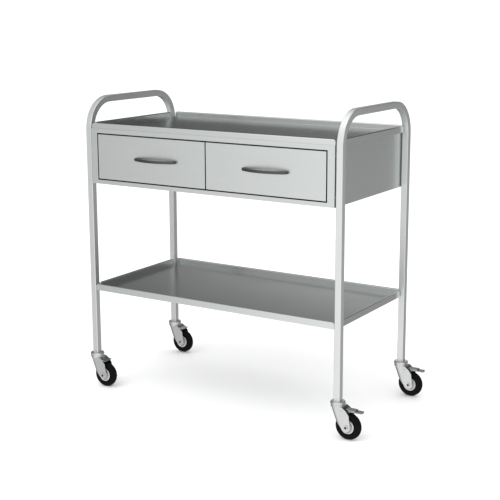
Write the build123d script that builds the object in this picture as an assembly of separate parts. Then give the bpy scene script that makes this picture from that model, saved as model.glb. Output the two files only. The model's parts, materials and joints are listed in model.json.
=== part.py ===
from build123d import *
import os
from math import acos, atan2, cos, degrees, radians, sin

# Instrument cart: two bent-tube end frames on swivel casters, a rimmed top tray over a
# two-drawer cabinet, and a rimmed lower shelf. Millimetres. +X runs along the cart, towards
# the braked casters, -Y is the drawer side and +Z is up. The parts are drawn about the middle
# of the four legs, with the floor at z = 0, and moved to the model's origin when they are saved.

# End frames
frame_width = 908.0
frame_depth = 450.0
frame_height = 940.0
tube = 20.0
tube_wall = 1.5
tube_corner = 2.0
bend_radius = 90.0
leg_bottom = 110.0
leg_x = (frame_width - tube) / 2
leg_y = (frame_depth - tube) / 2

# Trays
sheet = 1.0
rim_width = 7.0
rim_height = 20.0
rim_corner = 8.0
rim_edge_radius = 3.0
tray_depth = 17.0
top_tray_z = 861.0
lower_shelf_z = 342.0
tray_inset = 13.0
side_rim_gap = 3.0
top_rim_gap = 3.5
tray_width = frame_width - 2 * tray_inset
side_rim_length = frame_depth - 2 * tube - 2 * side_rim_gap
top_rim_length = frame_width - 2 * tube - 2 * top_rim_gap
shelf_rim_length = frame_width - 2 * tube
stiffener_length = 840.0
stiffener_width = 70.0
stiffener_top = 40.0
stiffener_height = 12.0

# Cabinet
cabinet_gap = 3.0
cabinet_width = frame_width - 2 * tube - 2 * cabinet_gap
face_proud = 2.0
face_y = -frame_depth / 2 - face_proud
face_depth = 26.0
cabinet_bottom = 671.0
cabinet_top = top_tray_z - rim_height
face_lip_top = 845.0
window_bottom = 683.5
window_top = 830.5
window_half = 408.0
flange = 15.0
panel_front = face_y + face_depth
divider_thickness = 2.0
spacer_radius = 5.0
screw_heights = (700.0, 815.0)
screw_radius = 3.0
screw_length = 16.0
screw_head_radius = 5.0
screw_head_height = 3.0
hole_clearance = 0.1

# Drawers
reveal = 4.0
front_depth = 14.0
front_width = window_half - 1.5 * reveal
front_height = window_top - window_bottom - 2 * reveal
front_centre_x = (window_half - reveal / 2) / 2
front_centre_z = (window_top + window_bottom) / 2
slide_thickness = 12.9
slide_length = 400.0
slide_height = 45.0
slide_wall = 1.2
slide_play = 0.4
slide_z = 740.0
slide_front = panel_front + 1.0
box_depth = 400.0
box_bottom = 700.0
box_top = 812.0
box_outer_x = window_half - slide_thickness
box_inner_x = divider_thickness / 2 + slide_thickness

# Bow handles
handle_half_span = 73.0
handle_foot = 4.0
handle_turn_radius = 9.0
handle_slope = 28.0
handle_height = 9.0
handle_thickness = 6.0
handle_edge = 2.2
handle_rise = 2.0
handle_offsets = {"left": 21.25, "right": 4.65}
handle_screw_radius = 2.0
handle_screw_head_radius = 4.0
handle_screw_head_height = 2.2
handle_z = front_centre_z + handle_rise

# Casters, drawn about the swivel axis with the wheel trailing towards +X
wheel_radius = 40.0
tyre_half_width = 12.0
tyre_inner_radius = 21.0
tyre_lip_radius = 3.5
tyre_shoulder_radius = 11.0
hub_half_width = 13.5
hub_boss_radius = 10.0
hub_web_half = 4.0
hub_rim_inner = 17.5
hub_rim_half = 10.0
hub_overlap = 1.0
trail = 35.0
axle_radius = 4.0
running_clearance = 0.05
cap_radius = 22.0
cap_bottom = 103.0
cap_fillet = 3.0
stem_radius = 5.0
stem_top = 138.0
stem_head_radius = 9.0
stem_head_bottom = 91.0
plug_top = 140.0
plug_play = 0.1
plug_corner = 1.0
crown_top = 97.7
crown_thickness = 3.0
fork_half_width = 18.0
fork_wall = 1.5
fork_front_x = -20.8
fork_toe = (-6.3, 60.5)
fork_end_radius = 13.0
fork_rear = [(43.5, 76.0), (33.0, 89.5), (20.8, crown_top)]
race_outer_radius = 20.8
race_inner_radius = 18.5
race_top = 102.4
ball_radius = 2.2
ball_circle_radius = 14.0
ball_count = 14
washer_radius = 8.0
washer_gap = 0.3
axle_head_radius = 6.5
axle_head_height = 3.0
hood_tip = (45.0, 88.5)

# Brake pedals
pedal_pin_x = 20.0
pedal_pin_z = 88.0
pedal_pin_radius = 2.5
pedal_barrel_radius = 4.5
pedal_barrel_half = 15.6
pedal_half_width = 10.5
pedal_top = 92.0
pedal_plate = 3.0
pedal_corner = 6.3
pedal_upper_end = 60.0
pedal_lower_start = 46.0
pedal_reach = 81.0
shoe_half_length = 8.0
shoe_bottom = 83.0

corners = {
    "front_left": (-1, -1),
    "front_right": (1, -1),
    "rear_left": (-1, 1),
    "rear_right": (1, 1),
}
braked_corners = ("front_right", "rear_right")


def box_between(low, high):
    """A block given by its lowest and highest corners."""
    size = [b - a for a, b in zip(low, high)]
    middle = [(a + b) / 2 for a, b in zip(low, high)]
    return Pos(*middle) * Box(*size)


def rod(axis, radius, start, length):
    """A cylinder along X, Y or Z that begins at start and runs length in that direction."""
    turn = {"X": Rot(0, 90, 0), "Y": Rot(-90, 0, 0), "Z": Rot(0, 0, 0)}[axis]
    upright = Cylinder(radius, length, align=(Align.CENTER, Align.CENTER, Align.MIN))
    return Pos(*start) * turn * upright


def mirrored(shape):
    """The same shape on the other side of the cart's middle plane, X to -X."""
    return mirror(shape, about=Plane.YZ)


# ---- End frames -------------------------------------------------------------------------

def tube_section():
    outer = RectangleRounded(tube, tube, tube_corner)
    inner = RectangleRounded(tube - 2 * tube_wall, tube - 2 * tube_wall, tube_corner - tube_wall)
    return outer - inner


def side_frame(side):
    """One end frame: a square tube bent into an inverted U, with its screw holes."""
    bend_z = frame_height - tube / 2 - bend_radius
    straight_y = leg_y - bend_radius
    x = side * leg_x
    leg = extrude(tube_section(), bend_z - leg_bottom)
    top_plane = Plane(origin=(x, -straight_y, frame_height - tube / 2), z_dir=(0, 1, 0))
    frame = extrude(top_plane * tube_section(), 2 * straight_y)
    for end in (-1, 1):
        frame += Pos(x, end * leg_y, leg_bottom) * leg
        bend_axis = Axis((x, end * straight_y, bend_z), (end, 0, 0))
        start = Pos(x, end * leg_y, bend_z) * tube_section()
        frame += revolve(start, bend_axis, 90)
    for end in (-1, 1):
        for z in screw_heights:
            hole_x = x - side * tube
            frame -= rod("X", screw_radius + hole_clearance, (min(hole_x, x), end * leg_y, z), tube)
    return frame


def leg_plugs():
    """The threaded plugs in the four leg ends, which hold the caster stems."""
    side = tube - 2 * tube_wall - 2 * plug_play
    plug = extrude(RectangleRounded(side, side, plug_corner), plug_top - leg_bottom)
    bore = stem_radius + running_clearance
    plug -= rod("Z", bore, (0, 0, 0), plug_top - leg_bottom)
    return [Pos(sx * leg_x, sy * leg_y, leg_bottom) * plug for sx, sy in corners.values()]


# ---- Trays ------------------------------------------------------------------------------

def rim_outline(length, height, corner):
    """The upright outline of a rim, square below and round at its two top corners."""
    outline = Pos(0, -height / 2) * Rectangle(length, height)
    return fillet(outline.vertices().group_by(Axis.Y)[-1], corner)


def rim(length):
    """A hollow folded rim, along X, centred, with its outer face on y = 0 and its top at z = 0."""
    face = Plane(origin=(0, 0, 0), x_dir=(1, 0, 0), z_dir=(0, -1, 0))
    body = extrude(face * rim_outline(length, rim_height, rim_corner), -rim_width)
    body = fillet(body.edges().group_by(Axis.Z)[-1].filter_by(Axis.X), rim_edge_radius)
    hollow_face = Plane(origin=(0, sheet, -sheet), x_dir=(1, 0, 0), z_dir=(0, -1, 0))
    hollow_outline = rim_outline(length - 2 * sheet, rim_height, rim_corner - sheet)
    hollow = extrude(hollow_face * hollow_outline, -(rim_width - 2 * sheet))
    hollow = fillet(hollow.edges().group_by(Axis.Z)[-1].filter_by(Axis.X), rim_edge_radius - sheet)
    return body - hollow


def tray(rim_length):
    """A shallow tray about its own middle, with the top of its rims at z = 0."""
    deck_z = -tray_depth - sheet
    inner_x = tray_width / 2 - rim_width
    inner_y = frame_depth / 2 - rim_width
    deck = box_between((-inner_x, -side_rim_length / 2, deck_z),
                       (inner_x, side_rim_length / 2, deck_z + sheet))
    deck += box_between((-rim_length / 2, -inner_y, deck_z), (rim_length / 2, inner_y, deck_z + sheet))
    long_rim = rim(rim_length)
    short_rim = rim(side_rim_length)
    for turn in (0, 180):
        deck += Rot(0, 0, turn) * Pos(0, -frame_depth / 2, 0) * long_rim
        deck += Rot(0, 0, turn + 90) * Pos(0, -tray_width / 2, 0) * short_rim
    return deck


def shelf_stiffener():
    """The hat-shaped stiffener welded under the lower shelf."""
    top = lower_shelf_z - tray_depth - sheet
    foot = stiffener_width / 2
    crest = stiffener_top / 2
    hat = Polyline((-foot, 0), (-crest, 0), (-crest + sheet, -stiffener_height),
                   (crest - sheet, -stiffener_height), (crest, 0), (foot, 0))
    inside = Polyline((-foot, -sheet), (-crest - sheet, -sheet), (-crest, -stiffener_height - sheet),
                      (crest, -stiffener_height - sheet), (crest + sheet, -sheet), (foot, -sheet))
    left = Line((-foot, 0), (-foot, -sheet))
    right = Line((foot, 0), (foot, -sheet))
    section = make_face(hat + right + inside + left)
    start = Plane(origin=(-stiffener_length / 2, 0, top), x_dir=(0, 1, 0), z_dir=(1, 0, 0))
    return extrude(start * section, stiffener_length)


# ---- Cabinet ----------------------------------------------------------------------------

def face_frame():
    """The folded frame round the two drawers: a channel, open to the back, round one window."""
    half = cabinet_width / 2
    block = box_between((-half, face_y, cabinet_bottom), (half, panel_front, cabinet_top))
    block += box_between((-half, face_y, cabinet_bottom), (half, face_y + sheet, face_lip_top))
    block -= box_between((-half + sheet, face_y + sheet, cabinet_bottom + sheet),
                         (half - sheet, panel_front, cabinet_top - sheet))
    block += box_between((-window_half - sheet, face_y, window_bottom - sheet),
                         (window_half + sheet, panel_front, window_top + sheet))
    block -= box_between((-window_half, face_y, window_bottom), (window_half, panel_front, window_top))
    for z in screw_heights:
        hole = rod("X", screw_radius + hole_clearance, (half - sheet, -leg_y, z), sheet)
        block -= hole + mirrored(hole)
    return block


def side_panel(side):
    """A cabinet side with a top flange, and clearance holes for its two rear screws."""
    outer = cabinet_width / 2
    back = frame_depth / 2 - sheet
    panel = box_between((outer - sheet, panel_front, cabinet_bottom), (outer, back, cabinet_top))
    panel += box_between((outer - flange, panel_front, cabinet_top - sheet), (outer, back, cabinet_top))
    for z in screw_heights:
        panel -= rod("X", screw_radius + hole_clearance, (outer - sheet, leg_y, z), sheet)
    return panel if side > 0 else mirrored(panel)


def bottom_panel():
    """The cabinet floor, turned up at the front and back edges."""
    half = cabinet_width / 2 - sheet
    back = frame_depth / 2 - sheet
    panel = box_between((-half, panel_front, cabinet_bottom), (half, back, cabinet_bottom + sheet))
    for y in (panel_front, back - sheet):
        panel += box_between((-half, y, cabinet_bottom), (half, y + sheet, window_bottom - sheet))
    return panel


def back_panel():
    """The cabinet back with a top flange that carries the tray."""
    half = cabinet_width / 2
    back = frame_depth / 2
    flange_half = half - flange
    panel = box_between((-half, back - sheet, cabinet_bottom), (half, back, cabinet_top))
    return panel + box_between((-flange_half, back - flange, cabinet_top - sheet),
                               (flange_half, back, cabinet_top))


def centre_divider():
    """The upright sheet between the two drawers."""
    half = divider_thickness / 2
    back = frame_depth / 2 - 2 * sheet
    front = panel_front + sheet
    return box_between((-half, front, cabinet_bottom + sheet), (half, back, cabinet_top - sheet))


def slide_packer():
    """The channel that packs a drawer slide out from the cabinet side to the window's edge."""
    inner = window_half
    outer = cabinet_width / 2 - sheet
    low = slide_z - slide_height / 2
    high = slide_z + slide_height / 2
    packer = box_between((inner, slide_front, low), (outer, slide_front + slide_length, high))
    return packer - box_between((inner + sheet, slide_front, low + sheet),
                                (outer, slide_front + slide_length, high - sheet))


def cabinet_spacers():
    """The round spacers that hold the cabinet clear of the legs."""
    spacers = []
    for side in (-1, 1):
        start_x = cabinet_width / 2 if side > 0 else -cabinet_width / 2 - cabinet_gap
        for end in (-1, 1):
            for z in screw_heights:
                start = (start_x, end * leg_y, z)
                ring = rod("X", spacer_radius, start, cabinet_gap)
                spacers.append(ring - rod("X", screw_radius + hole_clearance, start, cabinet_gap))
    return spacers


def cabinet_screws():
    """The pan-head screws that run from inside the cabinet into the legs."""
    head_x = cabinet_width / 2 - sheet
    screws = []
    for end in (-1, 1):
        for z in screw_heights:
            screw = rod("X", screw_radius, (head_x, end * leg_y, z), screw_length)
            head_start = (head_x - screw_head_height, end * leg_y, z)
            screw += rod("X", screw_head_radius, head_start, screw_head_height)
            screws += [screw, mirrored(screw)]
    return screws


# ---- Drawers ----------------------------------------------------------------------------
# The boxes and slides are drawn for the right-hand drawer and mirrored for the left.

def handed(hand, shape):
    """A shape drawn for the right-hand drawer, on the side asked for."""
    return mirrored(shape) if hand == "left" else shape


def handle_centre_x(hand):
    """The middle of a bow handle, on the cart's own X axis."""
    side = 1 if hand == "right" else -1
    return side * front_centre_x + handle_offsets[hand]


def handle_feet(hand):
    return [handle_centre_x(hand) + end * handle_half_span for end in (-1, 1)]


def drawer_front(hand):
    """A folded drawer front, open to the back, with two holes for the handle screws."""
    side = 1 if hand == "right" else -1
    x = side * front_centre_x
    half_x = front_width / 2
    half_z = front_height / 2
    front = box_between((x - half_x, face_y, front_centre_z - half_z),
                        (x + half_x, face_y + front_depth, front_centre_z + half_z))
    front -= box_between((x - half_x + sheet, face_y + sheet, front_centre_z - half_z + sheet),
                         (x + half_x - sheet, face_y + front_depth, front_centre_z + half_z - sheet))
    for foot_x in handle_feet(hand):
        start = (foot_x, face_y, handle_z)
        front -= rod("Y", handle_screw_radius + hole_clearance, start, sheet)
    return front


def drawer_box():
    """The open-topped drawer behind its front: a floor, two sides and two ends, welded sheets."""
    front = face_y + front_depth
    back = front + box_depth
    left = box_inner_x
    right = box_outer_x
    low = box_bottom + sheet
    panels = [box_between((left, front, box_bottom), (right, back, low))]
    for x in (left, right - sheet):
        panels.append(box_between((x, front, low), (x + sheet, back, box_top)))
    for y in (front, back - sheet):
        panels.append(box_between((left + sheet, y, low), (right - sheet, y + sheet, box_top)))
    return panels


def bow_radius():
    """The radius of a handle's long bow, set by its span and the slope at its ends."""
    return handle_turn_radius + (handle_half_span - handle_turn_radius) / sin(radians(handle_slope))


def handle_reach():
    """How far a handle stands out from the drawer front."""
    slope = radians(handle_slope)
    centre_line = handle_foot + handle_turn_radius * cos(slope) + bow_radius() * (1 - cos(slope))
    return centre_line + handle_thickness / 2


def across(point):
    """A point of the handle's centre line, on the other side of its middle."""
    return -point[0], point[1]


def handle_path():
    """The handle's centre line in plan: a foot and a tight turn at each end of the long bow."""
    slope = radians(handle_slope)
    foot_end = (-handle_half_span, -handle_foot)
    turn_centre = (foot_end[0] + handle_turn_radius, foot_end[1])
    turn_end = (turn_centre[0] - handle_turn_radius * sin(slope),
                turn_centre[1] - handle_turn_radius * cos(slope))
    half_slope = radians(45 + handle_slope / 2)
    turn_middle = (turn_centre[0] - handle_turn_radius * sin(half_slope),
                   turn_centre[1] - handle_turn_radius * cos(half_slope))
    bow_outermost = (0, turn_end[1] - bow_radius() * (1 - cos(slope)))
    foot = Line((-handle_half_span, 0), foot_end)
    turn = ThreePointArc(foot_end, turn_middle, turn_end)
    bow = ThreePointArc(turn_end, bow_outermost, across(turn_end))
    far_turn = ThreePointArc(across(turn_end), across(turn_middle), across(foot_end))
    far_foot = Line(across(foot_end), (handle_half_span, 0))
    return Wire([foot, turn, bow, far_turn, far_foot])


def bow_handle(hand):
    """A bowed pull of flat rounded bar, with a tapped hole up each foot."""
    section_plane = Plane(origin=(-handle_half_span, 0, 0), x_dir=(1, 0, 0), z_dir=(0, -1, 0))
    section = section_plane * RectangleRounded(handle_thickness, handle_height, handle_edge)
    handle = sweep(section, path=handle_path())
    for end in (-1, 1):
        start = (end * handle_half_span, -handle_foot, 0)
        handle -= rod("Y", handle_screw_radius, start, handle_foot)
    return Pos(handle_centre_x(hand), face_y, handle_z) * handle


def handle_screws(hand):
    """The two screws that hold a handle from inside the drawer front."""
    screws = []
    for foot_x in handle_feet(hand):
        tip_y = face_y - handle_foot
        shank = rod("Y", handle_screw_radius, (foot_x, tip_y, handle_z), handle_foot + sheet)
        head_start = (foot_x, face_y + sheet, handle_z)
        screws.append(shank + rod("Y", handle_screw_head_radius, head_start, handle_screw_head_height))
    return screws


def channel(web_x, open_x, height):
    """A slide member: a channel along Y whose web is at web_x and whose flanges end at open_x."""
    inward = 1 if open_x > web_x else -1
    low_x, high_x = sorted((web_x, open_x))
    body = box_between((low_x, slide_front, slide_z - height / 2),
                       (high_x, slide_front + slide_length, slide_z + height / 2))
    clear_low, clear_high = sorted((web_x + inward * slide_wall, open_x))
    return body - box_between((clear_low, slide_front, slide_z - height / 2 + slide_wall),
                              (clear_high, slide_front + slide_length, slide_z + height / 2 - slide_wall))


def slide_members(member):
    """One kind of member of a telescopic slide, at both sides of the right-hand drawer."""
    step = slide_wall + slide_play
    height = slide_height - 2 * step * ("fixed", "middle", "drawer").index(member)
    members = []
    for fixed_x, drawer_x in ((window_half, box_outer_x), (divider_thickness / 2, box_inner_x)):
        inward = 1 if drawer_x > fixed_x else -1
        ends = {
            "fixed": (fixed_x, drawer_x - inward * step),
            "middle": (fixed_x + inward * step, drawer_x - inward * step),
            "drawer": (drawer_x, fixed_x + inward * 2 * step),
        }[member]
        members.append(channel(*ends, height))
    return members


# ---- Casters ----------------------------------------------------------------------------

def swivel_cap():
    """The round cap under a leg, fixed to it by the stem, which holds the upper ball race."""
    cap = rod("Z", cap_radius, (0, 0, cap_bottom), leg_bottom - cap_bottom)
    cap = fillet(cap.edges().group_by(Axis.Z)[-1], cap_fillet)
    return cap - rod("Z", stem_radius + running_clearance, (0, 0, cap_bottom), leg_bottom - cap_bottom)


def caster_stem():
    """The stem that carries a caster, with its head below the fork's crown."""
    shank = rod("Z", stem_radius, (0, 0, stem_head_bottom), stem_top - stem_head_bottom)
    head_height = crown_top - crown_thickness - washer_gap - stem_head_bottom
    return shank + rod("Z", stem_head_radius, (0, 0, stem_head_bottom), head_height)


def bearing_balls():
    step = 360 / ball_count
    centre_z = crown_top + ball_radius
    ball = Sphere(ball_radius)
    return [Rot(0, 0, i * step) * Pos(ball_circle_radius, 0, centre_z) * ball for i in range(ball_count)]


def fork_profile():
    """The fork's side outline in X and Z, with a round end about the axle."""
    from_axle = (fork_toe[0] - trail, fork_toe[1] - wheel_radius)
    distance = (from_axle[0] ** 2 + from_axle[1] ** 2) ** 0.5
    toe_angle = degrees(atan2(from_axle[1], from_axle[0])) + degrees(acos(fork_end_radius / distance))
    touch = (trail + fork_end_radius * cos(radians(toe_angle)),
             wheel_radius + fork_end_radius * sin(radians(toe_angle)))
    outline = Polygon((fork_front_x, crown_top), fork_toe, touch, (trail, wheel_radius),
                      (trail + fork_end_radius, wheel_radius), *fork_rear, align=None)
    return outline + Pos(trail, wheel_radius) * Circle(fork_end_radius)


def slanted_shell(half_width, top_z):
    """A solid with a round front and flat sides that leans back as the fork's front does."""
    lean = (fork_toe[0] - fork_front_x) / (crown_top - fork_toe[1])
    drop = top_z - (wheel_radius - fork_end_radius) + fork_wall
    centre_x = fork_front_x + fork_half_width + lean * (crown_top - top_z)
    length = trail + fork_end_radius + fork_half_width
    plan = Circle(half_width) + Pos(length / 2, 0) * Rectangle(length, 2 * half_width)
    reach = (drop ** 2 + (lean * drop) ** 2) ** 0.5
    return extrude(Pos(centre_x, 0, top_z) * plan, reach, dir=(lean * drop, 0, -drop))


def hood():
    """The short lip over the wheel at the back of a fork with no brake."""
    root = fork_rear[-2]
    start = (root[0] - 2 * fork_wall, root[1] + fork_wall)
    outline = Polygon(start, hood_tip, (hood_tip[0], hood_tip[1] - fork_wall),
                      (start[0], start[1] - fork_wall), align=None)
    side_view = Plane(origin=(0, 0, 0), x_dir=(1, 0, 0), z_dir=(0, -1, 0))
    return extrude(side_view * outline, fork_half_width - fork_wall, both=True)


def fork(braked):
    """The stamped fork: a crown with the lower ball race, and two arms joined by a round front."""
    side_view = Plane(origin=(0, 0, 0), x_dir=(1, 0, 0), z_dir=(0, -1, 0))
    outline = extrude(side_view * fork_profile(), fork_half_width, both=True)
    shell = slanted_shell(fork_half_width, crown_top)
    shell -= slanted_shell(fork_half_width - fork_wall, crown_top - crown_thickness)
    body = shell & outline
    crown_bottom = crown_top - crown_thickness
    crown = rod("Z", race_outer_radius, (0, 0, crown_bottom), race_top - crown_bottom)
    crown -= rod("Z", race_inner_radius, (0, 0, crown_top), race_top - crown_top)
    body += crown
    if not braked:
        body += hood()
    stem_bore = stem_radius + running_clearance
    body -= rod("Z", stem_bore, (0, 0, stem_head_bottom), crown_top - stem_head_bottom)
    width = 2 * fork_half_width
    body -= rod("Y", axle_radius + running_clearance, (trail, -fork_half_width, wheel_radius), width)
    if braked:
        pin_start = (pedal_pin_x, -fork_half_width, pedal_pin_z)
        body -= rod("Y", pedal_pin_radius + running_clearance, pin_start, width)
    return body


def axle_fasteners():
    """The axle bolt through the fork, its nut, and the washers beside the hub."""
    inside = fork_half_width - fork_wall
    end_y = fork_half_width + axle_head_height
    bolt = rod("Y", axle_radius, (trail, -fork_half_width, wheel_radius), fork_half_width + end_y)
    bolt += rod("Y", axle_head_radius, (trail, -end_y, wheel_radius), axle_head_height)
    upright = Plane(origin=(trail, fork_half_width, wheel_radius), x_dir=(1, 0, 0), z_dir=(0, 1, 0))
    nut = extrude(upright * RegularPolygon(axle_head_radius, 6), axle_head_height)
    nut -= rod("Y", axle_radius, (trail, fork_half_width, wheel_radius), axle_head_height)
    pieces = [bolt, nut]
    thickness = inside - hub_half_width - washer_gap
    for start_y in (-inside, inside - thickness):
        start = (trail, start_y, wheel_radius)
        washer = rod("Y", washer_radius, start, thickness)
        pieces.append(washer - rod("Y", axle_radius + running_clearance, start, thickness))
    return pieces


def about_axle(section):
    """A body turned about the axle from a section of radius (X) against width (Y)."""
    plane = Plane(origin=(trail, 0, wheel_radius), x_dir=(1, 0, 0), z_dir=(0, 0, 1))
    return revolve(plane * section, Axis((trail, 0, wheel_radius), (0, 1, 0)), 360)


def ring_section(inner, outer, half_width):
    return Pos((inner + outer) / 2, 0) * Rectangle(outer - inner, 2 * half_width)


def wheel_hub():
    """The moulded hub: a boss on the axle, a thin web, and the rim inside the tyre."""
    section = ring_section(axle_radius + running_clearance, hub_boss_radius, hub_half_width)
    section += ring_section(hub_boss_radius - hub_overlap, hub_rim_inner + hub_overlap, hub_web_half)
    section += ring_section(hub_rim_inner, tyre_inner_radius, hub_rim_half)
    return about_axle(section)


def tyre():
    """The rubber tyre, flat at the rim and round over the tread."""
    section = ring_section(tyre_inner_radius, wheel_radius, tyre_half_width)
    tread = section.vertices().group_by(Axis.X)[-1]
    section = fillet(tread, tyre_shoulder_radius)
    bead = section.vertices().group_by(Axis.X)[0]
    return about_axle(fillet(bead, tyre_lip_radius))


def brake_pedal():
    """The stepped brake pedal with its pivot barrel and the shoe above the tyre."""
    step = pedal_top - pedal_plate
    low = step - pedal_plate
    half = pedal_half_width
    pedal = box_between((pedal_pin_x, -half, step), (pedal_upper_end, half, pedal_top))
    pedal += box_between((pedal_lower_start, -half, low), (pedal_reach, half, step))
    corner_edges = pedal.edges().filter_by(Axis.Z).group_by(Axis.X)[-1]
    pedal = fillet(corner_edges, pedal_corner)
    pedal += box_between((trail - shoe_half_length, -half, shoe_bottom),
                         (trail + shoe_half_length, half, step))
    barrel_start = (pedal_pin_x, -pedal_barrel_half, pedal_pin_z)
    pedal += rod("Y", pedal_barrel_radius, barrel_start, 2 * pedal_barrel_half)
    return pedal - rod("Y", pedal_pin_radius + running_clearance, barrel_start, 2 * pedal_barrel_half)


def pedal_pin():
    return rod("Y", pedal_pin_radius, (pedal_pin_x, -fork_half_width, pedal_pin_z), 2 * fork_half_width)


# ---- The whole cart ---------------------------------------------------------------------

def frame_parts():
    return {
        "left_side_frame": [side_frame(-1)],
        "right_side_frame": [side_frame(1)],
        "leg_plugs": leg_plugs(),
        "top_tray": [Pos(0, 0, top_tray_z) * tray(top_rim_length)],
        "lower_shelf": [Pos(0, 0, lower_shelf_z) * tray(shelf_rim_length)],
        "shelf_stiffener": [shelf_stiffener()],
    }


def cabinet_parts():
    packer = slide_packer()
    return {
        "face_frame": [face_frame()],
        "left_cabinet_side": [side_panel(-1)],
        "right_cabinet_side": [side_panel(1)],
        "cabinet_floor": [bottom_panel()],
        "cabinet_back": [back_panel()],
        "centre_divider": [centre_divider()],
        "slide_packers": [packer, mirrored(packer)],
        "cabinet_spacers": cabinet_spacers(),
        "cabinet_screws": cabinet_screws(),
    }


def drawer_parts(hand):
    """The nodes of one drawer and its slides."""
    parts = {
        f"{hand}_drawer_front": [drawer_front(hand)],
        f"{hand}_drawer_box": [handed(hand, panel) for panel in drawer_box()],
        f"{hand}_drawer_handle": [bow_handle(hand)],
        f"{hand}_drawer_handle_screws": handle_screws(hand),
    }
    for member in ("fixed", "middle", "drawer"):
        parts[f"{hand}_slide_{member}_members"] = [handed(hand, piece) for piece in slide_members(member)]
    return parts


def caster_parts(corner):
    """The nodes of one caster, moved under its leg."""
    braked = corner in braked_corners
    parts = {
        f"{corner}_swivel_cap": [swivel_cap()],
        f"{corner}_bearing_balls": bearing_balls(),
        f"{corner}_fork": [fork(braked)],
        f"{corner}_axle_fasteners": axle_fasteners(),
        f"{corner}_wheel_hub": [wheel_hub()],
        f"{corner}_tyre": [tyre()],
    }
    if braked:
        parts[f"{corner}_brake_pedal"] = [brake_pedal()]
        parts[f"{corner}_pedal_pin"] = [pedal_pin()]
    side_x, side_y = corners[corner]
    under_leg = Pos(side_x * leg_x, side_y * leg_y, 0)
    return {node: [under_leg * piece for piece in pieces] for node, pieces in parts.items()}


def all_parts():
    parts = frame_parts() | cabinet_parts()
    for hand in ("left", "right"):
        parts |= drawer_parts(hand)
    stem = caster_stem()
    parts["caster_stems"] = [Pos(sx * leg_x, sy * leg_y, 0) * stem for sx, sy in corners.values()]
    for corner in corners:
        parts |= caster_parts(corner)
    return parts


def model_origin():
    """The middle, in plan, of the box round the whole cart, seen from the middle of the legs."""
    right = leg_x + pedal_reach
    left = -leg_x - cap_radius
    front = face_y - handle_reach()
    back = leg_y + cap_radius
    return (left + right) / 2, (front + back) / 2


def save(parts):
    origin_x, origin_y = model_origin()
    for node, pieces in parts.items():
        moved = [Pos(-origin_x, -origin_y, 0) * piece for piece in pieces]
        if len(moved) > 1:
            moved = [Compound(children=[Solid(piece.solid().wrapped) for piece in moved])]
        export_step(moved[0], f"parts/{node}.step")
    print(len(parts), "nodes, origin at", origin_x, origin_y)


os.makedirs("parts", exist_ok=True)
save(all_parts())
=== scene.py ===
import json
import math
import bmesh
import bpy
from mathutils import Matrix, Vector


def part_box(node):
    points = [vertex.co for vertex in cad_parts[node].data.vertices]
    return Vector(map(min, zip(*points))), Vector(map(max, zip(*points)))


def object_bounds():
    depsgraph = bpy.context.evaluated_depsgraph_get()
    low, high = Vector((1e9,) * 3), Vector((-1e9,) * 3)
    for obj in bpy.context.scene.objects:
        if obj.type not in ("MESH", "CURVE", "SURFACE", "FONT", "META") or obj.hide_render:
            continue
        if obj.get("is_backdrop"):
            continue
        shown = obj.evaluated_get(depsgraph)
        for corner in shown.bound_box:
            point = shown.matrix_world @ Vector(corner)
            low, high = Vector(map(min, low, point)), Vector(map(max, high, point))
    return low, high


# Instrument cart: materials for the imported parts, with a studio round them. Metres.

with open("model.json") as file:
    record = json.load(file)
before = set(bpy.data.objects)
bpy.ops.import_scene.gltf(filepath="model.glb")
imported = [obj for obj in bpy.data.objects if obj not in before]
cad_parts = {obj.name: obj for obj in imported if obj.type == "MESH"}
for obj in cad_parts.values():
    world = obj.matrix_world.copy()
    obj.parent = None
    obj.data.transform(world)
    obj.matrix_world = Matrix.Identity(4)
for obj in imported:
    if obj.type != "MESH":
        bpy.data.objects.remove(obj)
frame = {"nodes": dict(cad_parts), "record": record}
cad_low, cad_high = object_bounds()

SHEET = (0.685, 0.71, 0.70)
TUBE = (0.785, 0.805, 0.795)
DARK_METAL = (0.10, 0.10, 0.10)
ZINC = (0.66, 0.67, 0.665)
RUNNER_ZINC = (0.68, 0.69, 0.70)
PLAIN_STEEL = (0.55, 0.55, 0.55)
PEDAL_STEEL = (0.42, 0.41, 0.40)
HUB_PLASTIC = (0.60, 0.61, 0.60)
RUBBER = (0.003, 0.003, 0.003)
DUST = (0.02, 0.0195, 0.019)
# painted shade for the recess in the middle of each axle end
RECESS_SHADE = (0.02, 0.02, 0.02)

SHEET_ROUGHNESS = 0.17      # of the trays and the cabinet's long sheets
DECK_DEPTH = 0.017          # of a tray's deck below the top of its rim
DECK_PAINTED_SHADE = 0.52            # painted shade: brightness of a deck, as a part of the sheet's own, standing in for the dimmer light a deck reflects
GRAIN_ACROSS = 650.0        # scale of the brushing lines' noise across them, per metre
GRAIN_ALONG = 5.0           # and along them
BEND_RADIUS = 0.1           # outer radius of the end frames' bends
SIDE_RINGS = 2100.0         # rings on a tyre's side, in radians per metre of radius
HUB_RINGS = 3200.0          # turning marks on a hub, likewise
CORNERS = ("front_left", "front_right", "rear_left", "rear_right")

WORLD_STRENGTH = 1.3
DOME_RADIUS = 2.2
DOME_HEIGHT = 0.4
FRONT_LEVEL = 1.06          # brightness of the dome in front of the cart
BACK_LEVEL = 0.36           # and behind it, away from the screen
FLOOR_HALF = 60.0

CAMERA_PLACE = (1.85346, -2.91763, 1.22269)     # from the middle of the legs, at floor level
CAMERA_TILT = 78.512
CAMERA_TURN = 31.277
CAMERA_LENS = 80.40
CAMERA_SHIFT = (-0.0376, -0.0370)


# ---- Node helpers -----------------------------------------------------------------------

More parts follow.
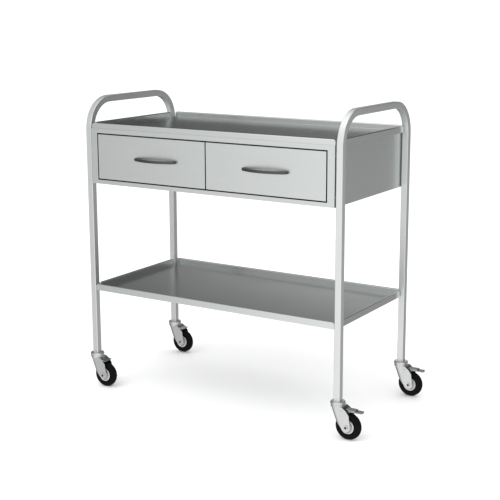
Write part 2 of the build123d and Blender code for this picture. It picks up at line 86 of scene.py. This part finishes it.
class Tree:
    """A material with its Principled shader, and short calls for the nodes it is made from."""

    def __init__(self, name, metallic, roughness):
        self.material = bpy.data.materials.new(name)
        self.material.use_nodes = True
        self.nodes = self.material.node_tree.nodes
        self.links = self.material.node_tree.links
        self.shader = self.nodes["Principled BSDF"]
        self.shader.inputs["Metallic"].default_value = metallic
        self.shader.inputs["Roughness"].default_value = roughness

    def add(self, kind, **settings):
        node = self.nodes.new("ShaderNode" + kind)
        for key, value in settings.items():
            setattr(node, key, value)
        return node

    def feed(self, socket, value):
        """Links an output to a socket, or sets the socket to a plain value."""
        if isinstance(value, bpy.types.NodeSocket):
            self.links.new(value, socket)
        else:
            socket.default_value = value

    def math(self, operation, *values):
        node = self.add("Math", operation=operation)
        for socket, value in zip(node.inputs, values):
            self.feed(socket, value)
        return node.outputs[0]

    def place(self):
        return self.add("TexCoord").outputs["Object"]

    def split(self, vector):
        """The X, Y and Z outputs of a vector."""
        node = self.add("SeparateXYZ")
        self.feed(node.inputs[0], vector)
        return node.outputs

    def stretched(self, scale, shift=(0, 0, 0)):
        """Object coordinates about the point shift, multiplied by scale."""
        moved = self.add("VectorMath", operation="SUBTRACT")
        self.feed(moved.inputs[0], self.place())
        moved.inputs[1].default_value = shift
        scaled = self.add("VectorMath", operation="MULTIPLY")
        self.feed(scaled.inputs[0], moved.outputs[0])
        scaled.inputs[1].default_value = scale
        return scaled.outputs[0]

    def noise(self, vector, detail=2.0, roughness=0.5):
        node = self.add("TexNoise")
        node.inputs["Scale"].default_value = 1.0
        node.inputs["Detail"].default_value = detail
        node.inputs["Roughness"].default_value = roughness
        self.feed(node.inputs["Vector"], vector)
        return node.outputs["Fac"]

    def even_noise(self, scale, detail=2.0):
        """Noise of one scale, per metre, in every direction."""
        return self.noise(self.stretched((scale,) * 3), detail)

    def spread(self, value, low, high, start=0.0, end=1.0):
        """Goes from low to high as the value goes from start to end."""
        node = self.add("MapRange")
        self.feed(node.inputs["Value"], value)
        node.inputs["From Min"].default_value = start
        node.inputs["From Max"].default_value = end
        node.inputs["To Min"].default_value = low
        node.inputs["To Max"].default_value = high
        return node.outputs["Result"]

    def blend(self, factor, first, second):
        node = self.add("Mix", data_type="RGBA")
        self.feed(node.inputs["Factor"], factor)
        for name, value in (("A", first), ("B", second)):
            socket = next(s for s in node.inputs if s.name == name and s.type == "RGBA")
            self.feed(socket, (*value, 1.0) if isinstance(value, tuple) else value)
        return next(s for s in node.outputs if s.type == "RGBA")

    def rounded(self, radius):
        """The surface normal with sharp edges rounded off by radius."""
        node = self.add("Bevel", samples=4)
        node.inputs["Radius"].default_value = radius
        return node.outputs["Normal"]

    def edge_mask(self, radius):
        """About 1 close to a sharp edge and 0 away from it."""
        dot = self.add("VectorMath", operation="DOT_PRODUCT")
        self.feed(dot.inputs[0], self.rounded(radius))
        self.feed(dot.inputs[1], self.add("NewGeometry").outputs["Normal"])
        return self.spread(dot.outputs["Value"], 1.0, 0.0, 0.85, 0.995)

    def bump(self, height, distance, strength=1.0, normal=None):
        node = self.add("Bump")
        node.inputs["Strength"].default_value = strength
        node.inputs["Distance"].default_value = distance
        self.feed(node.inputs["Height"], height)
        if normal is not None:
            self.feed(node.inputs["Normal"], normal)
        return node.outputs["Normal"]

    def finish(self, color, roughness, normal):
        self.feed(self.shader.inputs["Base Color"], color)
        self.feed(self.shader.inputs["Roughness"], roughness)
        self.feed(self.shader.inputs["Normal"], normal)
        return self.material


def shade(color, factor):
    return tuple(min(1.0, channel * factor) for channel in color)


# ---- Materials --------------------------------------------------------------------------

def brushed(name, color, roughness, grain, edge_radius=0.0009, deck_z=None):
    """Satin brushed metal. grain gives the noise vector, long in the brushing direction.

    Faces that point up at deck_z or below, if it is given, get painted shade: a darker tone that
    stands in for the dimmer light a tray's deck reflects. They are also a little rougher and duller.
    """
    tree = Tree(name, 1.0, roughness)
    lines = tree.noise(grain(tree), detail=3.0, roughness=0.6)
    smudge = tree.even_noise(7, detail=3.0)
    edge = tree.edge_mask(edge_radius)
    scuff = tree.math("MULTIPLY", edge, tree.spread(tree.even_noise(90), 0.2, 1.0, 0.3, 0.7))
    tone = tree.blend(lines, shade(color, 0.95), shade(color, 1.05))
    tone = tree.blend(tree.math("MULTIPLY", scuff, 0.5), tone, shade(color, 1.14))
    rough = tree.math("ADD", tree.spread(lines, -0.05, 0.05),
                      tree.spread(smudge, roughness - 0.04, roughness + 0.05))
    rough = tree.math("SUBTRACT", rough, tree.math("MULTIPLY", scuff, 0.06))
    normal = tree.bump(lines, 0.00004, 0.35, tree.rounded(edge_radius))
    if deck_z is not None:
        height = tree.split(tree.place())["Z"]
        facing = tree.split(tree.add("NewGeometry").outputs["Normal"])["Z"]
        # Painted shade: faces that point up on a tray's deck get a darker tone.
        low_enough = tree.spread(height, 1.0, 0.0, deck_z + 0.0003, deck_z + 0.0015)
        deck_shade_mask = tree.math("MULTIPLY", low_enough, tree.spread(facing, 0.0, 1.0, 0.8, 0.95))
        shaded_deck_tone = tree.blend(smudge, shade(color, DECK_PAINTED_SHADE * 0.9), shade(color, DECK_PAINTED_SHADE * 1.1))
        tone = tree.blend(deck_shade_mask, tone, shaded_deck_tone)
        rough = tree.math("ADD", rough, tree.math("MULTIPLY", deck_shade_mask, 0.05))
    return tree.finish(tone, rough, normal)


def straight_grain(axis):
    """Brushing along one axis."""
    scale = [GRAIN_ACROSS] * 3
    scale["XYZ".index(axis)] = GRAIN_ALONG
    return lambda tree: tree.stretched(tuple(scale))


def tube_grain(tree):
    """Brushing along an end frame's bent tube: down the legs, round the bends, along the top."""
    low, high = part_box("left_side_frame")
    place = tree.split(tree.place())
    middle_y = (low.y + high.y) / 2
    from_middle = tree.math("ABSOLUTE", tree.math("SUBTRACT", place["Y"], middle_y))
    bend_y = (high.y - low.y) / 2 - BEND_RADIUS
    out = tree.math("MAXIMUM", tree.math("SUBTRACT", from_middle, bend_y), 0.0)
    up = tree.math("MAXIMUM", tree.math("SUBTRACT", place["Z"], high.z - BEND_RADIUS), 0.0)
    across = tree.math("SQRT", tree.math("ADD", tree.math("POWER", out, 2.0),
                                         tree.math("POWER", up, 2.0)))
    along = tree.math("SUBTRACT", place["Z"], from_middle)
    joined = tree.add("CombineXYZ")
    tree.feed(joined.inputs["X"], tree.math("MULTIPLY", place["X"], GRAIN_ACROSS))
    tree.feed(joined.inputs["Y"], tree.math("MULTIPLY", across, GRAIN_ACROSS))
    tree.feed(joined.inputs["Z"], tree.math("MULTIPLY", along, GRAIN_ALONG))
    return joined.outputs[0]


def plated(name, color, roughness, edge_radius=0.0006):
    """Bright zinc plate, with the faint cloudiness and fine pitting of barrel plating."""
    tree = Tree(name, 1.0, roughness)
    cloud = tree.even_noise(60, detail=4.0)
    grit = tree.even_noise(1400)
    edge = tree.edge_mask(edge_radius)
    tone = tree.blend(cloud, shade(color, 0.90), shade(color, 1.06))
    tone = tree.blend(tree.math("MULTIPLY", edge, 0.4), tone, shade(color, 1.12))
    rough = tree.spread(cloud, roughness - 0.06, roughness + 0.10)
    normal = tree.bump(grit, 0.00003, 0.3, tree.rounded(edge_radius))
    return tree.finish(tone, rough, normal)


def radius_about(tree, centre):
    """The distance of a point from the wheel's axle, which runs along Y."""
    place = tree.split(tree.stretched((1, 0, 1), centre))
    return tree.math("SQRT", tree.math("ADD", tree.math("POWER", place["X"], 2.0),
                                       tree.math("POWER", place["Z"], 2.0)))


def rubber(name, centre):
    """Black solid rubber with moulded side rings, a dusty tread and fine texture."""
    tree = Tree(name, 0.0, 0.5)
    tree.shader.inputs["Specular IOR Level"].default_value = 0.07
    radius = radius_about(tree, centre)
    rings = tree.math("SINE", tree.math("MULTIPLY", radius, SIDE_RINGS))
    side = tree.math("MULTIPLY", tree.spread(radius, 0.0, 1.0, 0.022, 0.024),
                     tree.spread(radius, 1.0, 0.0, 0.031, 0.033))
    speckle = tree.even_noise(900, detail=3.0)
    tread = tree.spread(radius, 0.0, 1.0, 0.036, 0.040)
    dust = tree.math("MULTIPLY", tread, tree.even_noise(45))
    tone = tree.blend(speckle, shade(RUBBER, 0.8), shade(RUBBER, 1.3))
    tone = tree.blend(tree.math("MULTIPLY", dust, 0.2), tone, DUST)
    rough = tree.math("ADD", tree.spread(speckle, 0.38, 0.5), tree.math("MULTIPLY", dust, 0.3))
    height = tree.math("ADD", tree.math("MULTIPLY", tree.math("MULTIPLY", rings, side), 0.5),
                       tree.math("MULTIPLY", speckle, 0.25))
    return tree.finish(tone, rough, tree.bump(height, 0.0002, 0.6))


def moulded_hub(name, centre):
    """Light grey moulded plastic with turned rings, darker near the axle in a patch broken up by
    noise.
    """
    tree = Tree(name, 0.0, 0.42)
    radius = radius_about(tree, centre)
    rings = tree.math("SINE", tree.math("MULTIPLY", radius, HUB_RINGS))
    pebble = tree.even_noise(700)
    near_axle = tree.spread(radius, 1.0, 0.0, 0.008, 0.014)
    # Darker near the axle, in a patch broken up by noise.
    axle_darkening = tree.math("MULTIPLY", near_axle, tree.even_noise(150))
    tone = tree.blend(pebble, shade(HUB_PLASTIC, 0.96), shade(HUB_PLASTIC, 1.04))
    tone = tree.blend(tree.math("MULTIPLY", axle_darkening, 0.6), tone, shade(HUB_PLASTIC, 0.4))
    rough = tree.spread(pebble, 0.36, 0.5)
    height = tree.math("ADD", tree.math("MULTIPLY", rings, 0.2), pebble)
    return tree.finish(tone, rough, tree.bump(height, 0.00008, 0.5, tree.rounded(0.0006)))


def axle_ends(name, centre):
    """Zinc-plated bolt and nut, with painted shade: a near-black disc in the recess in the middle of
    each end.
    """
    tree = Tree(name, 1.0, 0.3)
    radius = radius_about(tree, centre)
    grit = tree.even_noise(1400)
    # Painted shade: the recess in the middle of each end is coloured near-black.
    recess = tree.spread(radius, 1.0, 0.0, 0.0032, 0.0040)
    tone = tree.blend(grit, shade(ZINC, 0.85), ZINC)
    tone = tree.blend(recess, tone, RECESS_SHADE)
    rough = tree.math("ADD", tree.spread(grit, 0.22, 0.36), tree.math("MULTIPLY", recess, 0.3))
    return tree.finish(tone, rough, tree.bump(grit, 0.00002, 0.4, tree.rounded(0.0005)))


def moulded_plug():
    """Black moulded nylon."""
    tree = Tree("plug_nylon", 0.0, 0.5)
    pebble = tree.even_noise(800)
    tone = tree.blend(pebble, (0.03, 0.03, 0.03), (0.05, 0.05, 0.05))
    return tree.finish(tone, tree.spread(pebble, 0.4, 0.6), tree.bump(pebble, 0.00005, 0.4))


slot_looks = {
    "brushed_tube": brushed("satin_tube", TUBE, 0.46, tube_grain),
    "brushed_sheet": brushed("sheet_along_x", SHEET, SHEET_ROUGHNESS, straight_grain("X")),
    "handle_metal": brushed("dark_handle", DARK_METAL, 0.22, straight_grain("X"), 0.0005),
    "zinc_plate": plated("zinc", ZINC, 0.20),
    "plain_steel": brushed("plain_steel", PLAIN_STEEL, 0.32, straight_grain("Z"), 0.0004),
    "runner_steel": plated("runner_zinc", RUNNER_ZINC, 0.30),
    "pedal_steel": plated("pedal_plate", PEDAL_STEEL, 0.34),
    "plug_plastic": moulded_plug(),
}
along_y = brushed("sheet_along_y", SHEET, 0.40, straight_grain("Y"))
satin_x = brushed("satin_along_x", SHEET, 0.33, straight_grain("X"))
node_looks = {      # parts of brushed sheet with a duller finish or a grain from front to back
    "left_cabinet_side": along_y,
    "right_cabinet_side": along_y,
    "centre_divider": along_y,
    "left_drawer_front": satin_x,
    "right_drawer_front": satin_x,
    "left_drawer_box": satin_x,
    "right_drawer_box": satin_x,
    "face_frame": satin_x,
}


def dress(node, material):
    """Gives a CAD part its finished material."""
    for slot in frame["nodes"][node].material_slots:
        slot.material = material


for part in frame["record"]["subparts"]:
    node, slot_name = part["node"], part["material_slot"]
    if slot_name in slot_looks:
        dress(node, node_looks.get(node, slot_looks[slot_name]))
# Each tray's deck gets painted shade, darker than the rest of its sheet.
for tray in ("top_tray", "lower_shelf"):
    deck_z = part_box(tray)[1].z - DECK_DEPTH
    dress(tray, brushed(tray + "_sheet", SHEET, SHEET_ROUGHNESS, straight_grain("X"), deck_z=deck_z))
for corner in CORNERS:
    low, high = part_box(corner + "_tyre")
    axle = tuple((low + high) / 2)
    dress(corner + "_tyre", rubber("rubber_" + corner, axle))
    dress(corner + "_wheel_hub", moulded_hub("hub_" + corner, axle))
    dress(corner + "_axle_fasteners", axle_ends("axle_" + corner, axle))


# ---- Studio -----------------------------------------------------------------------------

def stage_mesh(name, build):
    """An object made by mesh code that isn't part of the cart."""
    mesh = bpy.data.meshes.new(name)
    shape = bmesh.new()
    build(shape)
    shape.to_mesh(mesh)
    shape.free()
    thing = bpy.data.objects.new(name, mesh)
    bpy.context.scene.collection.objects.link(thing)
    thing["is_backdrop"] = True
    return thing


def pale_floor():
    """A wide matt floor that the cart's metal doesn't reflect."""
    floor = stage_mesh("floor", lambda shape: bmesh.ops.create_grid(
        shape, x_segments=4, y_segments=4, size=FLOOR_HALF))
    floor.location = (0, 0, cad_low.z)
    floor.visible_glossy = False
    tree = Tree("pale_floor", 0.0, 0.9)
    tree.shader.inputs["Specular IOR Level"].default_value = 0.0
    mottle = tree.even_noise(3, detail=3.0)
    tone = tree.blend(mottle, (0.90, 0.90, 0.90), (0.93, 0.93, 0.93))
    rough = tree.spread(mottle, 0.85, 0.95)
    floor.data.materials.append(tree.finish(tone, rough, tree.bump(mottle, 0.0005, 0.2)))


def reflected_studio():
    """A dome seen only in reflections.

    It is bright in front, and dimmer at the left. Behind it is darker, with a lighter screen at
    the left, and nearly dark above the screen. The top is lit again.
    """
    dome = stage_mesh("reflected_studio", lambda shape: bmesh.ops.create_uvsphere(
        shape, u_segments=64, v_segments=32, radius=DOME_RADIUS))
    dome.location = (0, 0, DOME_HEIGHT)
    dome.visible_camera = False
    dome.visible_diffuse = False
    dome.visible_shadow = False
    dome.visible_transmission = False
    tree = Tree("studio_glow", 0.0, 1.0)
    place = tree.split(tree.stretched((1 / DOME_RADIUS,) * 3))
    screen = tree.math("MULTIPLY", tree.spread(place["Z"], 0.0, 0.55, -0.02, 0.16),
                       tree.spread(place["X"], 1.0, 0.0, -0.22, 0.05))
    dimming = tree.spread(place["Z"], 1.0, 0.2, 0.23, 0.31)
    level = tree.math("MULTIPLY", tree.math("ADD", screen, BACK_LEVEL), dimming)
    behind = tree.math("MULTIPLY", level, tree.spread(place["X"], 0.3, 1.0, -0.8, -0.3))
    side = tree.spread(place["X"], 0.54, 1.0, -0.8, -0.25)
    back = tree.spread(place["Y"], 0.0, 1.0, -0.55, 0.55)
    depth = tree.add("Mix", data_type="FLOAT")
    tree.feed(depth.inputs["Factor"], back)
    tree.feed(depth.inputs["A"], tree.math("MULTIPLY", side, FRONT_LEVEL))
    tree.feed(depth.inputs["B"], behind)
    top = tree.spread(place["Z"], 0.0, 0.7, 0.75, 0.95)
    glow = tree.math("ADD", depth.outputs["Result"], top)
    light = tree.add("Emission")
    tree.feed(light.inputs["Strength"], glow)
    tree.links.new(light.outputs[0], tree.nodes["Material Output"].inputs["Surface"])
    tree.nodes.remove(tree.shader)
    tree.material.cycles.emission_sampling = "NONE"
    dome.data.materials.append(tree.material)


def soft_light(name, place, aim, size, power):
    """A square area light that throws light but isn't seen in reflections."""
    data = bpy.data.lights.new(name, "AREA")
    data.size = size
    data.energy = power
    lamp = bpy.data.objects.new(name, data)
    lamp.location = place
    lamp.rotation_euler = (Vector(aim) - Vector(place)).to_track_quat("-Z", "Y").to_euler()
    lamp.visible_glossy = False
    bpy.context.scene.collection.objects.link(lamp)


def studio_world():
    """White light from all round."""
    world = bpy.data.worlds.new("studio_air")
    world.use_nodes = True
    background = world.node_tree.nodes["Background"]
    background.inputs["Color"].default_value = (1, 1, 1, 1)
    background.inputs["Strength"].default_value = WORLD_STRENGTH
    world.cycles.sampling_method = "NONE"
    bpy.context.scene.world = world


def legs_middle():
    """The point on the floor in the middle of the four legs."""
    left_low, left_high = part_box("left_side_frame")
    right_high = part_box("right_side_frame")[1]
    return Vector(((left_low.x + right_high.x) / 2, (left_low.y + left_high.y) / 2, 0))


def photo_camera():
    """The camera at the solved place, looking down a little from the cart's right front."""
    data = bpy.data.cameras.new("photo_camera")
    data.sensor_width = 36.0
    data.lens = CAMERA_LENS
    data.shift_x, data.shift_y = CAMERA_SHIFT
    camera = bpy.data.objects.new("photo_camera", data)
    camera.location = legs_middle() + Vector(CAMERA_PLACE)
    camera.rotation_euler = (math.radians(CAMERA_TILT), 0, math.radians(CAMERA_TURN))
    bpy.context.scene.collection.objects.link(camera)
    bpy.context.scene.camera = camera


pale_floor()
reflected_studio()
soft_light("key", place=(-0.6, -2.6, 3.2), aim=(0, 0, 0.5), size=3.0, power=40.0)
soft_light("fill", place=(2.8, -1.2, 2.4), aim=(0, 0, 0.5), size=2.5, power=16.0)
studio_world()
photo_camera()
bpy.context.scene.view_settings.view_transform = "Standard"

low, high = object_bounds()
